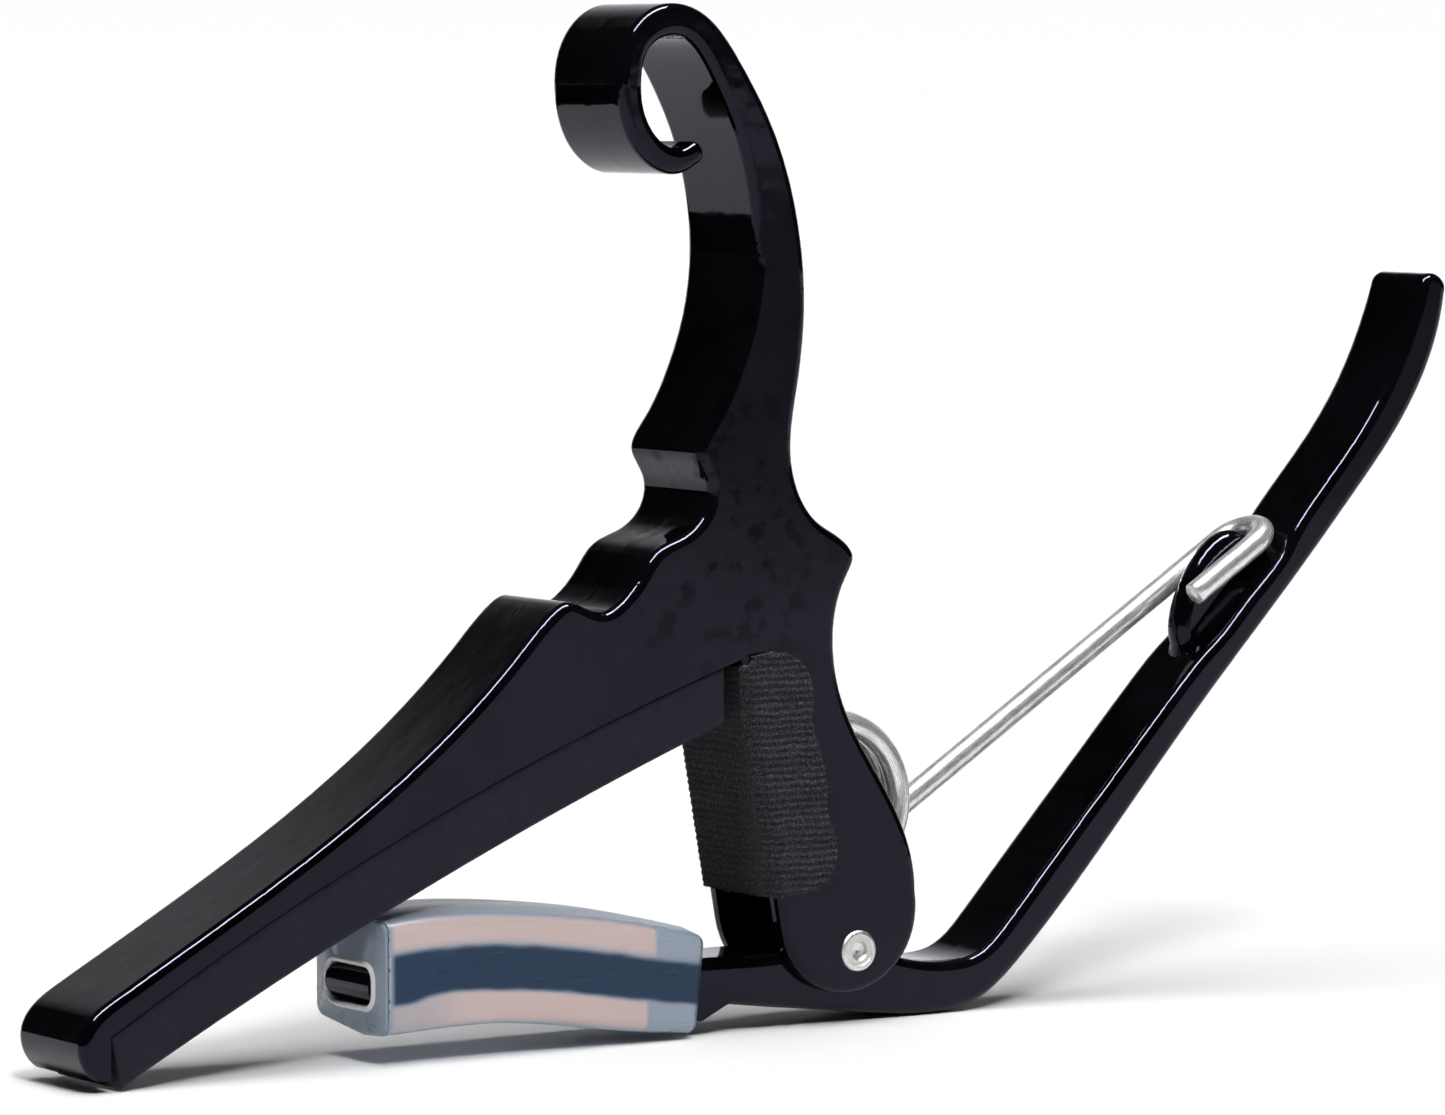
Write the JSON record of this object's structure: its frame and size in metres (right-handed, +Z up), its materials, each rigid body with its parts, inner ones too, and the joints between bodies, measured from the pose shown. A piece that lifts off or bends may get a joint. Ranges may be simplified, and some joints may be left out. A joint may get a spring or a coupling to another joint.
{
  "type": "guitar capo",
  "caption": "Spring clamp guitar capo: padded bar with a scrolled neck grip, a hinged lever with a silicone sleeve, and a wire torsion spring.",
  "frame": {"origin": "centre of the bounding box at its lowest level", "axes": "+X from the bar's end towards the lever's handle, +Y across the width, +Z up with the scroll at the top"},
  "size_m": [0.1435, 0.0124, 0.0884],
  "materials": {
    "black_paint": "gloss black powder coat",
    "rivet_steel": "dull plated steel",
    "spring_wire": "bright plated wire",
    "pad_rubber": "matt black rubber",
    "silicone": "translucent grey-blue silicone",
    "black_cloth": "black loop cloth"
  },
  "bodies": {
    "body": {"main_body": "black_paint", "string_pad": "pad_rubber", "leg_cloth": "black_cloth", "pivot_rivet": "rivet_steel", "spring_coil": "spring_wire"},
    "clamp_lever": {"lever": "black_paint", "lever_sleeve": "silicone"},
    "spring_end": {"spring_arm": "spring_wire"}
  },
  "joints": [
    {"name": "lever_hinge", "type": "hinge", "parent": "body", "child": "clamp_lever", "pos_m": [0.00468, 0, 0.00636], "axis": [0, -1, 0], "range_deg": [0, 30], "stiffness_Nm_per_rad": 2.1, "springref_deg": -11.46},
    {"name": "spring_turn", "type": "hinge", "parent": "body", "child": "spring_end", "pos_m": [0.00468, 0, 0.01926], "axis": [0, -1, 0], "range_deg": [0, 38]}
  ],
  "couplings": [
    {"joint": "spring_turn", "follows": "lever_hinge", "ratio": 1.23}
  ]
}
